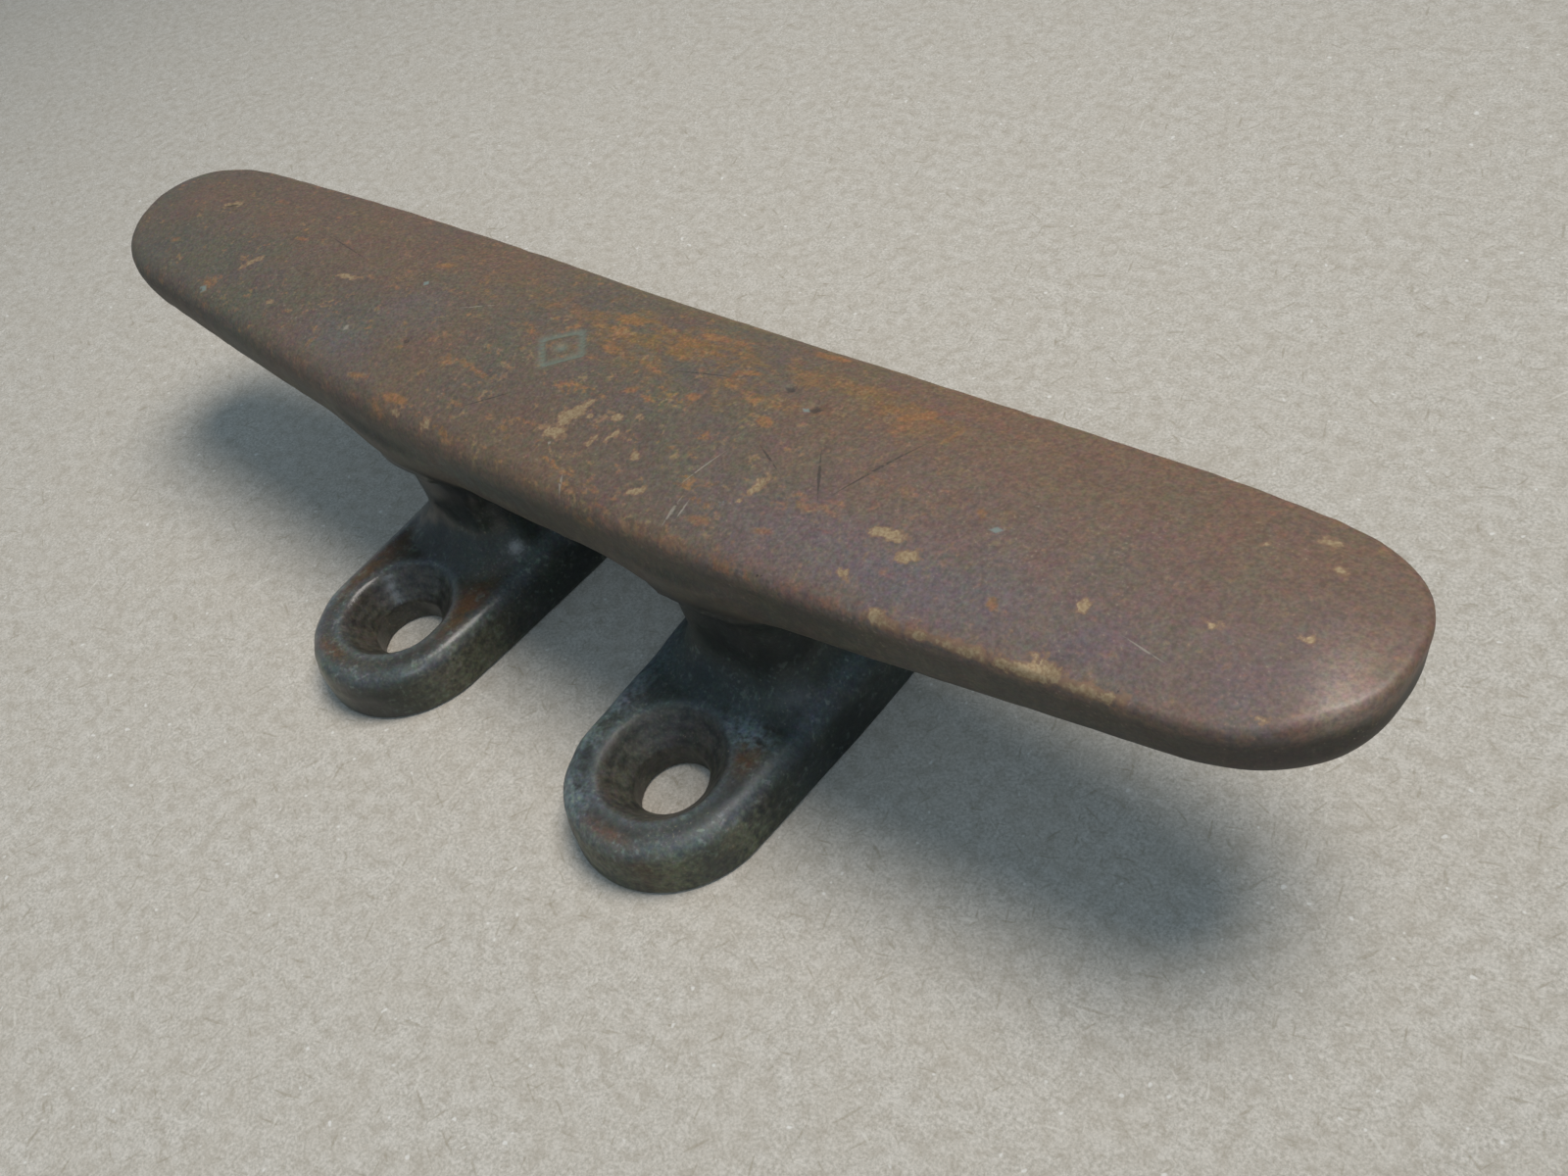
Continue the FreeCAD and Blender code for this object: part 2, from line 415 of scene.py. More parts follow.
# ------------------------------------------------------------------ building the mesh
def cast_surface():
    """Points and quads of the whole casting, with its unevenness, knocks and stamp."""
    points, quads = grid_skin(casting, GRID_LOW, GRID_HIGH, CELL)
    points = settle(casting, points)
    for _ in range(3):
        points = settle(casting, relax(points, quads), 2)
    slope = field_slope(casting, points)
    normals = slope / np.linalg.norm(slope, axis=1)[:, None]
    lift = uneven(points) - knock_depth(points) - STAMP_DEPTH * stamp_share(points)
    lift = lift * ramp(points[:, 2], 0.0, 1.5)
    points = points + normals * lift[:, None]
    points[:, 2] = np.maximum(points[:, 2], 0.0)
    return points, quads


def raw_mesh(name, coords, faces):
    mesh = bpy.data.meshes.new(name)
    mesh.from_pydata([tuple(c) for c in coords * MM], [], [tuple(int(i) for i in f) for f in faces])
    mesh.validate()
    return mesh


def region(skin, name, keep_above, side):
    """One region of the casting, cut from the skin and closed along the dividing plane."""
    work = bmesh.new()
    work.from_mesh(skin)
    plane = {"plane_co": (0.0, 0.0, JOINT_PLANE * MM), "plane_no": (0.0, 0.0, 1.0)}
    everything = work.verts[:] + work.edges[:] + work.faces[:]
    bmesh.ops.bisect_plane(
        work, geom=everything, dist=1e-7,
        clear_inner=keep_above, clear_outer=not keep_above, **plane)
    if side:
        unwanted = [v for v in work.verts if v.co.x * side < 0.0]
        bmesh.ops.delete(work, geom=unwanted, context="VERTS")
    rim = [e for e in work.edges if e.is_boundary]
    capped = bmesh.ops.holes_fill(work, edges=rim, sides=0)["faces"]
    bmesh.ops.triangulate(work, faces=capped)
    mesh = bpy.data.meshes.new(name)
    work.to_mesh(mesh)
    work.free()
    return mesh


def shade_smooth(mesh):
    """Smooth shading that runs on across the dividing plane, with flat caps.

    Returns the points of the mesh in millimetres.
    """
    count = len(mesh.vertices)
    coords = np.empty(count * 3)
    mesh.vertices.foreach_get("co", coords)
    coords = coords.reshape(-1, 3) / MM
    normal = np.empty(count * 3)
    mesh.vertices.foreach_get("normal", normal)
    normal = normal.reshape(-1, 3)
    on_plane = np.abs(coords[:, 2] - JOINT_PLANE) < 1e-3
    slope = field_slope(casting, coords[on_plane])
    normal[on_plane] = slope / np.linalg.norm(slope, axis=1)[:, None]
    loops = np.empty(len(mesh.loops), np.int64)
    mesh.loops.foreach_get("vertex_index", loops)
    loop_normal = normal[loops]
    for face in mesh.polygons:
        if on_plane[list(face.vertices)].all():
            loop_normal[face.loop_start:face.loop_start + face.loop_total] = tuple(face.normal)
    mesh.polygons.foreach_set("use_smooth", [True] * len(mesh.polygons))
    mesh.normals_split_custom_set([tuple(n) for n in loop_normal])
    return coords


# ------------------------------------------------------------------ where the patina differs
SPOT_SCALE = 0.85
# Spots on the top: x, y, half length, half width (mm), turn (degrees), strength.
WORN_SPOTS = [
    (2.5, -6.2, 2.3, 1.3, 60, 1.05), (2.6, -8.3, 2.1, 1.0, 0, 1.05), (3.6, -4.2, 1.2, 0.6, 60, 1.0),
    (5.0, -5.4, 0.8, 0.5, 60, 0.9), (7.8, -4.4, 1.1, 0.8, 0, 1.05), (10.3, -3.6, 1.1, 0.5, -50, 0.9),
    (7.2, -7.8, 1.5, 0.5, 80, 0.85), (9.0, -6.4, 1.6, 0.5, 70, 0.85), (13.0, -7.5, 0.9, 0.8, 0, 1.0),
    (16.2, -10.5, 1.6, 0.6, 30, 0.9), (27.1, -5.6, 1.9, 0.8, 80, 1.0), (26.6, -7.6, 0.7, 0.6, 0, 0.8),
    (41.5, -5.6, 2.9, 0.9, 5, 0.95), (44.5, -7.0, 1.5, 1.0, 30, 0.95), (40.3, -10.4, 0.9, 0.7, 0, 0.85),
    (60.0, -5.5, 0.9, 1.1, 0, 0.9), (69.5, -3.0, 0.9, 0.7, 60, 0.8), (75.6, -1.4, 1.0, 0.7, 0, 0.8),
    (76.0, -8.5, 0.8, 0.8, 0, 0.75), (68.8, 5.8, 0.8, 0.7, 0, 0.75), (72.5, 8.2, 1.6, 0.7, 0, 0.8),
    (74.7, 5.7, 0.8, 0.6, 0, 0.8), (-68.0, 2.5, 2.4, 0.9, 30, 1.0), (-54.5, -4.0, 2.4, 0.7, 60, 0.9),
    (-40.0, -1.0, 2.6, 0.6, 15, 0.9), (-46.5, -8.0, 0.9, 0.6, 0, 0.8), (-13.0, -13.0, 1.2, 0.9, 0, 0.8),
    (60.2, -11.5, 2.1, 1.5, 0, 1.1), (65.5, -11.3, 1.2, 0.9, 0, 0.9), (45.0, -12.4, 0.9, 0.9, 0, 1.0),
    (53.7, -12.6, 1.0, 0.8, 0, 0.9), (56.8, -12.0, 1.2, 0.9, 0, 0.9), (-17.6, -13.2, 1.2, 0.9, 0, 0.8),
]
RUST_SPOTS = [
    (35.5, 7.8, 3.4, 0.8, 36, 1.0), (39.8, 6.7, 2.2, 0.6, 75, 0.9), (47.6, -0.6, 1.3, 0.6, -40, 0.9),
    (53.4, -8.0, 1.3, 0.6, -50, 1.0), (22.5, 1.0, 1.6, 0.9, -30, 1.0), (13.5, 1.0, 1.2, 0.9, 0, 1.0),
    (21.0, 12.0, 4.0, 0.9, 5, 1.0), (9.0, 9.5, 5.0, 1.2, 10, 0.9), (16.0, 6.0, 2.4, 0.8, 20, 1.0),
    (-2.0, 8.0, 3.0, 1.5, 0, 0.9), (6.5, -1.0, 1.8, 0.8, 40, 0.8), (24.0, -11.0, 3.0, 0.9, 10, 0.9),
    (-58.0, -9.0, 2.4, 1.2, 0, 0.65), (-30.0, 6.0, 2.5, 1.2, 30, 0.7), (31.0, -9.6, 2.0, 0.9, 20, 0.8),
    (-52.0, 1.5, 2.2, 0.7, 10, 0.75), (-36.0, -10.5, 1.6, 0.7, 70, 0.8), (-70.0, -5.5, 1.6, 0.8, 40, 0.7),
    (-26.0, -11.5, 2.4, 0.8, 20, 0.8), (-19.0, -12.0, 3.0, 0.8, 5, 0.9), (-62.0, 6.0, 1.8, 0.8, 0, 0.7),
]


def top_spots(points, places):
    """Soft turned ellipses on the top of the horn, a little smaller than their stated sizes."""
    x, y, _ = points.T
    share = np.zeros(len(points))
    for sx, sy, along, across, turn, strength in places:
        c, s = math.cos(math.radians(turn)), math.sin(math.radians(turn))
        u = (x - sx) * c + (y - sy) * s
        v = (y - sy) * c - (x - sx) * s
        spot = bell(u, 0.0, SPOT_SCALE * along) * bell(v, 0.0, SPOT_SCALE * across)
        share = np.maximum(share, strength * spot)
    return share * top_share(points)


def worn_share(points):
    return top_spots(points, WORN_SPOTS)


def rust_share(points):
    return top_spots(points, RUST_SPOTS)


def ridge_share(points):
    """1 along the upper edge of the horn, fading over a millimetre or so."""
    x, y, z = points.T
    edge = np.hypot(horn_plan(x, y, z) + 0.6, z - ridge_height(x) + 0.3)
    return bell(edge, 0.0, 0.9) * (1.0 - 0.6 * softened(x, y))


def far_share(points):
    """The far ridge over the legs, rolled over by rope."""
    x, y, z = points.T
    band = bell(horn_plan(x, y, z), -0.8, 1.8) * bell(x, 10.0, 32.0)
    return band * (y > 0.0) * (z > 25.0)


def front_share(points):
    """The ridges have lost most of their skin towards one end of the front edge."""
    x, y, _ = points.T
    return np.maximum(1.15 * bell(x, 56.0, 20.0) * (y < 0.0), 0.6)


def flank_share(points):
    """0 on the top of the horn, 1 below its ridge."""
    x, y, z = points.T
    start = ridge_height(x) - 0.3
    return ramp(z, start, start - 1.4 - softened(x, y))


def streak_share(points):
    """Blue-green streak on the front flank over the open base."""
    x, y, z = points.T
    return bell(x, -6.0, 8.0) * bell(z, 25.0, 1.5) * (y < 0.0)


def dirt_and_shade_share(points):
    """Dirt and painted shade where the legs run up into the horn, in an arch on its flanks."""
    x, _, z = points.T
    beside = np.exp(-((np.abs(x) - FOOT_X) / 9.5) ** 4)
    return beside * ramp(z, 23.0, 21.0) * ramp(z, 9.0, 13.0)


def painted_tip_shade_share(points):
    """Painted shade: the flanks darken towards the tips."""
    return ramp(np.abs(points[:, 0]), 56.0, 76.0) * flank_share(points)


def rubbed_and_highlight_share(points):
    """Polished by rope, and lightened as a painted highlight: the front of the right tip's ridge."""
    x, y, _ = points.T
    dx = x - 80.0
    dy = y + 5.5
    return bell(dx + 0.5 * dy, 0.0, 2.6) * bell(dy - 1.3 * dx, 0.0, 7.0) * top_share(points)


def stain_share(points):
    """Orange-brown stain along the far half of the top."""
    x, y, z = points.T
    patch = bell(x, 6.0, 21.0) * bell(y, 6.5, 4.6)
    far = bell(x, 34.0, 12.0) * bell(y, 8.0, 2.6)
    return np.maximum(patch, 0.7 * far) * (z > 26.0)


def violet_sheen_share(points):
    """Painted greyish violet sheen, a reflection on the right arm, towards its front edge."""
    x, y, _ = points.T
    return ramp(x, 18.0, 48.0) * ramp(y, 6.0, -6.0)


def cold_share(points):
    """Coldest bloom: a band along the front edge, and a patch and a disc on the left arm."""
    x, y, _ = points.T
    band = bell(x, 42.0, 20.0) * bell(y, -9.0, 3.6)
    patch = 0.8 * bell(x, -33.0, 5.0) * bell(y, -8.5, 2.4)
    disc = 0.5 * np.exp(-(np.hypot(x + 26.2, y + 1.8) / 4.0) ** 4)
    return np.maximum(np.maximum(band, patch), disc) * top_share(points)


def right_share(points):
    """The right arm is the plainer one."""
    return ramp(points[:, 0], 12.0, 42.0)


def middle_share(points):
    """Where rust-coloured streaks are thickest on the top."""
    x, y, _ = points.T
    return bell(x, 8.0, 32.0) * ramp(y, 14.0, 4.0)


def pad_share(points):
    """Level upper face of the feet, outside the legs."""
    z = points[:, 2]
    return ramp(z, 4.4, 5.8) * ramp(z, 9.5, 6.5)


def foot_spots(points, places):
    """Soft spots on the feet: x, y, half widths along x and y."""
    x, y, _ = points.T
    share = np.zeros(len(points))
    for sx, sy, half_x, half_y in places:
        share = np.maximum(share, bell(x, sx, half_x) * bell(y, sy, half_y))
    return share


def brown_share(points):
    """Brown patches on the feet."""
    places = [
        (-30.5, -21.0, 2.6, 7.0), (-13.5, -19.5, 2.4, 5.0), (28.6, -18.5, 1.6, 2.2),
        (22.0, -32.4, 5.0, 0.8), (-24.0, -31.5, 4.0, 1.1),
        (-14.0, 28.0, 4.0, 5.0), (30.0, 21.0, 3.0, 6.0), (12.5, 26.0, 2.5, 4.0),
    ]
    return foot_spots(points, places)


def green_share(points):
    """Yellow-green patches round the sides of the feet."""
    places = [
        (-11.5, -23.0, 3.2, 6.0), (11.0, -24.0, 2.4, 5.0), (20.0, -34.0, 7.0, 2.4),
        (28.5, -31.0, 3.0, 3.0), (31.8, -24.0, 1.8, 3.5), (-24.0, -33.5, 4.0, 2.0),
        (-30.0, 25.0, 3.5, 6.0), (32.0, 30.0, 3.0, 4.0),
    ]
    return foot_spots(points, places) * (points[:, 2] < 6.0)


def frost_and_highlight_share(points):
    """Pale blue-green bloom on the feet, and a painted highlight along the left rim of the right foot."""
    places = [
        # The first spot is a painted highlight on the right foot's left rim.
        (11.2, -22.0, 2.2, 9.0), (14.5, -31.5, 3.2, 2.6), (-31.5, -27.0, 1.6, 5.0),
        (27.0, -16.5, 3.0, 1.6), (11.5, 22.0, 2.0, 7.0), (-12.0, 30.0, 3.0, 3.0),
    ]
    return foot_spots(points, places)


def bore_distance(points):
    """Millimetres from the axis of the nearest screw hole."""
    x, y, _ = points.T
    return np.hypot(np.abs(x) - FOOT_X, np.abs(y) - HOLE_Y)


def rim_wear_and_highlight_share(points):
    """The edge round each countersink and the rounded upper edge of the feet, worn and painted paler as a
    highlight.
    """
    x, y, z = points.T
    past = np.maximum(np.abs(y) - HOLE_Y, 0.0)
    side = np.hypot(np.abs(x) - FOOT_X, past) - FOOT_END
    share = bell(bore_distance(points), SINK_RADIUS + 0.3, 0.6) + bell(side, -1.0, 0.9)
    return np.minimum(share, 1.0) * ramp(z, 4.2, 5.2) * ramp(z, 9.0, 7.0)


def dull_share(points):
    """The right foot has lost more of its polish than the left one."""
    return ramp(points[:, 0], 0.0, 8.0)


def hole_share(points):
    """Inside the screw holes and their countersinks."""
    inside = ramp(bore_distance(points), SINK_RADIUS + 0.4, SINK_RADIUS - 0.2)
    return inside * (points[:, 2] < 8.0)


# Each of these is stored on the mesh, for the material to read.
SHARES = {
    "top": top_share,
    "rust": rust_share,
    "bore": bore_distance,
    "foot": foot_share,
    "worn": worn_share,
    "ridge": ridge_share,
    "far": far_share,
    "front": front_share,
    "flank": flank_share,
    "streak": streak_share,
    "dirt_and_shade": dirt_and_shade_share,
    "tip": painted_tip_shade_share,
    "rubbed_and_highlight": rubbed_and_highlight_share,
    "stain": stain_share,
    "violet": violet_sheen_share,
    "cold": cold_share,
    "right": right_share,
    "middle": middle_share,
    "pad": pad_share,
    "brown": brown_share,
    "green": green_share,
    "frost_and_highlight": frost_and_highlight_share,
    "rim": rim_wear_and_highlight_share,
    "dull": dull_share,
    "hole": hole_share,
    "stamp": stamp_share,
}


def paint_shares(mesh, coords):
    """Store every share on the mesh, point by point."""
    for name, share in SHARES.items():
        store = mesh.attributes.new(name, "FLOAT", "POINT")
        store.data.foreach_set("value", share(coords).astype(np.float32))


# ------------------------------------------------------------------ material helpers
def srgb(r, g, b):
    """Linear colour from an 0-255 display colour."""
    channels = [c / 255.0 for c in (r, g, b)]
    return tuple(c / 12.92 if c <= 0.04045 else ((c + 0.055) / 1.055) ** 2.4 for c in channels) + (1.0,)


def paints(palette):
    """Linear colours of a palette of display colours."""
    return {name: srgb(*colour) for name, colour in palette.items()}


def new_material(name):
    material = bpy.data.materials.new(name)
    material.use_nodes = True
    tree = material.node_tree
    return material, tree, tree.nodes["Principled BSDF"]


def connect(tree, socket, value):
    if isinstance(value, bpy.types.NodeSocket):
        tree.links.new(value, socket)
    else:
        socket.default_value = value


def share_of(tree, name):
    reader = tree.nodes.new("ShaderNodeAttribute")
    reader.attribute_name = name
    return reader.outputs["Fac"]


def noise(tree, place, scale, detail=3.0, rough=0.55, stretch=None, turn=0.0, output="Fac"):
    if stretch:
        mapping = tree.nodes.new("ShaderNodeMapping")
        mapping.vector_type = "TEXTURE"
        mapping.inputs["Rotation"].default_value = (0.0, 0.0, turn)
        mapping.inputs["Scale"].default_value = stretch
        tree.links.new(place, mapping.inputs["Vector"])
        place = mapping.outputs["Vector"]
    texture = tree.nodes.new("ShaderNodeTexNoise")
    texture.inputs["Scale"].default_value = scale
    texture.inputs["Detail"].default_value = detail
    texture.inputs["Roughness"].default_value = rough
    tree.links.new(place, texture.inputs["Vector"])
    return texture.outputs[output]


def between(tree, value, start, end):
    """Smooth step of a value from start to end."""
    step = tree.nodes.new("ShaderNodeMapRange")
    step.interpolation_type = "SMOOTHSTEP"
    step.inputs["From Min"].default_value = start
    step.inputs["From Max"].default_value = end
    tree.links.new(value, step.inputs["Value"])
    return step.outputs["Result"]


def math_node(tree, operation, a, b=0.0):
    maths = tree.nodes.new("ShaderNodeMath")
    maths.operation = operation
    connect(tree, maths.inputs[0], a)
    connect(tree, maths.inputs[1], b)
    return maths.outputs[0]


def times(tree, a, b):
    return math_node(tree, "MULTIPLY", a, b)


def plus(tree, a, b):
    return math_node(tree, "ADD", a, b)


def minus(tree, a, b):
    return math_node(tree, "SUBTRACT", a, b)


def larger(tree, a, b):
    return math_node(tree, "MAXIMUM", a, b)


def mix_colour(tree, share, first, second, blend="MIX"):
    mixer = tree.nodes.new("ShaderNodeMix")
    mixer.data_type = "RGBA"
    mixer.blend_type = blend
    connect(tree, mixer.inputs[0], share)
    connect(tree, mixer.inputs[6], first)
    connect(tree, mixer.inputs[7], second)
    return mixer.outputs[2]


def mix_number(tree, share, first, second):
    mixer = tree.nodes.new("ShaderNodeMix")
    connect(tree, mixer.inputs[0], share)
    connect(tree, mixer.inputs[2], first)
    connect(tree, mixer.inputs[3], second)
    return mixer.outputs[0]


def layer(tree, colour, share, strength, paint):
    """Paint laid over a colour where the share says so."""
    return mix_colour(tree, times(tree, share, strength), colour, paint)


def add_bump(tree, shader, height, strength, distance):
    """Surface relief too fine for the mesh. The distance is in metres."""
    bump = tree.nodes.new("ShaderNodeBump")
    bump.inputs["Strength"].default_value = strength
    bump.inputs["Distance"].default_value = distance
    tree.links.new(height, bump.inputs["Height"])
    tree.links.new(bump.outputs["Normal"], shader.inputs["Normal"])


# ------------------------------------------------------------------ aged bronze
def bronze_textures(tree):
    """Noise at falling scales, from patches of a few centimetres to the grain of the sand mould."""
    place = tree.nodes.new("ShaderNodeTexCoord").outputs["Object"]
    return {
        "broad": noise(tree, place, 30.0, 2.0),
        "patch": noise(tree, place, 110.0, 5.0, 0.6),
        "blot": noise(tree, place, 400.0, 3.0, 0.6),
        "fleck": noise(tree, place, 620.0, 4.0, 0.65),
        "fine": noise(tree, place, 1500.0, 2.0),
        "grain": noise(tree, place, 3300.0, 2.0),
        "streak": noise(tree, place, 420.0, 4.0, 0.65, (3.3, 1.0, 1.0)),
        "hue": noise(tree, place, 210.0, 4.0, 0.7, output="Color"),
        "fine_hue": noise(tree, place, 1900.0, 2.0, output="Color"),
    }


# Scratches and dots too fine for the mesh: x, y, half length, half width (mm), turn (degrees).
DARK_MARKS = [
    (31.7, -2.5, 3.8, 0.22, -55), (36.3, 0.4, 6.2, 0.20, 66), (26.0, -2.7, 3.0, 0.15, -27),
    (-68.0, 2.2, 1.6, 0.40, 30), (-24.0, -5.5, 0.6, 0.5, 0), (21.4, 5.9, 0.7, 0.6, 0),
    (25.7, 4.4, 0.9, 0.6, 20), (12.0, 4.0, 5.0, 0.12, 15), (-45.0, 3.0, 6.0, 0.12, -8),
    (-8.0, -8.0, 4.0, 0.12, 40),
]
PALE_MARKS = [
    (21.0, -11.1, 2.0, 0.22, 92), (21.9, -10.6, 1.4, 0.14, 92), (7.4, -12.8, 1.2, 0.22, 118),
    (20.6, -6.0, 3.4, 0.10, 72),
    (51.3, 1.8, 0.35, 0.35, 0), (2.9, -9.6, 0.25, 0.25, 0), (-33.0, -7.0, 0.6, 0.5, 0),
    (66.0, -7.0, 2.4, 0.10, -12), (-20.0, 2.0, 3.0, 0.10, 30),
]
BLUE_MARKS = [
    (49.7, -1.7, 0.7, 0.4, 20), (25.2, -8.7, 0.35, 0.35, 0), (-29.4, 2.4, 0.5, 0.5, 0),
    (-58.0, -10.0, 0.8, 0.6, 0), (24.9, 4.0, 0.5, 0.4, 0),
]


def fine_marks(tree, marks):
    """Share of the surface covered by a list of thin lozenges, seen from above."""
    place = tree.nodes.new("ShaderNodeTexCoord").outputs["Object"]
    share = 0.0
    for x, y, along, across, turn in marks:
        mapping = tree.nodes.new("ShaderNodeMapping")
        mapping.vector_type = "TEXTURE"
        mapping.inputs["Location"].default_value = (x * MM, y * MM, 0.0)
        mapping.inputs["Rotation"].default_value = (0.0, 0.0, math.radians(turn))
        mapping.inputs["Scale"].default_value = (along * MM, across * MM, 1.0)
        tree.links.new(place, mapping.inputs["Vector"])
        parts = tree.nodes.new("ShaderNodeSeparateXYZ")
        tree.links.new(mapping.outputs["Vector"], parts.inputs["Vector"])
        u = math_node(tree, "ABSOLUTE", parts.outputs["X"])
        v = math_node(tree, "ABSOLUTE", parts.outputs["Y"])
        share = larger(tree, share, between(tree, plus(tree, u, v), 1.2, 0.5))
    return share


# Display colours, 0 to 255.
HORN = {
    "left arm": (106, 87, 71),
    "left arm, greyer": (94, 87, 75),
    "right arm": (112, 90, 73),
    # painted sheen, a reflection on the right arm
    "painted violet sheen": (106, 91, 85),
    "cold bloom": (101, 94, 96),
    "stain": (132, 97, 50),
    "golden ridge": (116, 96, 60),
    "rust streak": (152, 108, 64),
    "tan blot": (146, 118, 84),
    "freckle": (140, 106, 72),
    "orange fleck": (144, 101, 62),
    "flank": (60, 59, 50),
    "flank, warmer": (72, 64, 52),
    "flank fleck": (86, 80, 66),
    "blue-green streak": (70, 86, 80),
    # painted shade on the flanks at the tips
    "painted tip shade": (54, 45, 38),
    "warm ridge": (134, 98, 74),
    # painted highlight on the rope-polished ridge of the right tip
    "rubbed_and_highlight": (160, 136, 122),
}
FOOT = {
    "base": (39, 42, 38),
    "base, paler": (62, 66, 59),
    "pad": (78, 85, 88),
    "pad, warmer": (88, 80, 66),
    "brown": (98, 70, 44),
    "yellow-green": (96, 96, 74),
    # pale bloom, also a painted highlight on the right foot's left rim
    "frost_and_highlight": (114, 130, 132),
    "verdigris": (112, 120, 108),
    "verdigris on a rim": (126, 134, 122),
    # worn rims, also a painted highlight
    "rim": (102, 112, 114),
    "hole": (46, 45, 40),
    "hole, paler": (80, 77, 68),
    "turning mark": (96, 92, 82),
}
WEAR_AND_SHADE = {
    # near-black dirt and painted shade where the legs run up into the horn
    "dirt_and_shade": (27, 27, 26),
    "pit": (44, 37, 32),
    "speck": (150, 138, 114),
    "fringe": (132, 102, 78),
    "metal": (150, 126, 94),
    "metal, brighter": (178, 158, 124),
    "dark mark": (58, 52, 46),
    "pale mark": (150, 142, 128),
    "blue mark": (122, 138, 132),
    "stamp": (108, 124, 112),
}
RING_GAP = 0.75    # the cutter left rings this far apart in the countersinks, in millimetres


def horn_finish(tree, tex, shares):
    """Warm brown, with a painted violet sheen at one end, stained orange at the back, dark flanks with
    painted shade towards the tips, and a painted highlight on the right tip's rubbed ridge.
    """
    paint = paints(HORN)
    greyer = between(tree, tex["broad"], 0.35, 0.65)
    left_arm = mix_colour(tree, greyer, paint["left arm"], paint["left arm, greyer"])
    colour = mix_colour(tree, shares["right"], left_arm, paint["right arm"])
    # Painted violet sheen, a reflection on the top of the right arm.
    violet_sheen = times(tree, shares["violet"], between(tree, tex["patch"], 0.15, 0.75))
    colour = layer(tree, colour, violet_sheen, 1.0, paint["painted violet sheen"])
    colour = layer(tree, colour, shares["cold"], 0.6, paint["cold bloom"])
    stain = plus(tree, times(tree, tex["streak"], 0.6), times(tree, tex["fleck"], 0.4))
    stain = times(tree, shares["stain"], between(tree, stain, 0.42, 0.58))
    colour = layer(tree, colour, stain, 0.75, paint["stain"])
    golden = times(tree, shares["far"], between(tree, tex["streak"], 0.30, 0.52))
    colour = layer(tree, colour, golden, 0.6, paint["golden ridge"])
    rust = times(tree, between(tree, tex["streak"], 0.54, 0.66), between(tree, tex["fleck"], 0.45, 0.58))
    colour = layer(tree, colour, times(tree, rust, shares["middle"]), 0.75, paint["rust streak"])
    tan = times(tree, between(tree, tex["blot"], 0.58, 0.66), between(tree, tex["fine"], 0.45, 0.6))
    colour = layer(tree, colour, times(tree, tan, shares["middle"]), 0.6, paint["tan blot"])
    freckles = times(tree, between(tree, tex["fleck"], 0.56, 0.64), between(tree, tex["fine"], 0.46, 0.58))
    freckles = times(tree, freckles, mix_number(tree, shares["right"], 0.55, 0.30))
    colour = layer(tree, colour, freckles, 1.0, paint["freckle"])
    orange = plus(tree, shares["rust"], times(tree, plus(tree, tex["fleck"], tex["streak"]), 0.8))
    colour = layer(tree, colour, between(tree, orange, 1.15, 1.60), 0.68, paint["orange fleck"])
    colour = layer(tree, colour, shares["flank"], 0.92, flank_finish(tree, tex, shares, paint))
    # Painted shade on the flanks towards the tips.
    colour = layer(tree, colour, shares["tip"], 0.65, paint["painted tip shade"])
    warm = times(tree, shares["ridge"], between(tree, tex["fleck"], 0.44, 0.60))
    colour = layer(tree, colour, warm, 0.6, paint["warm ridge"])
    # Painted highlight where rope has polished the right tip's ridge.
    return layer(tree, colour, shares["rubbed_and_highlight"], 0.75, paint["rubbed_and_highlight"])


def flank_finish(tree, tex, shares, paint):
    """Dark brown-green, flecked, with a blue-green streak in front."""
    colour = mix_colour(tree, between(tree, tex["patch"], 0.4, 0.6), paint["flank"], paint["flank, warmer"])
    colour = layer(tree, colour, between(tree, tex["fleck"], 0.48, 0.62), 0.4, paint["flank fleck"])
    blue_green = times(tree, shares["streak"], between(tree, tex["fleck"], 0.36, 0.56))
    return layer(tree, colour, blue_green, 0.6, paint["blue-green streak"])


def turning_rings(tree, shares):
    """Fine rings round each screw hole, from -1 to 1."""
    return math_node(tree, "SINE", times(tree, shares["bore"], 2.0 * math.pi / RING_GAP))


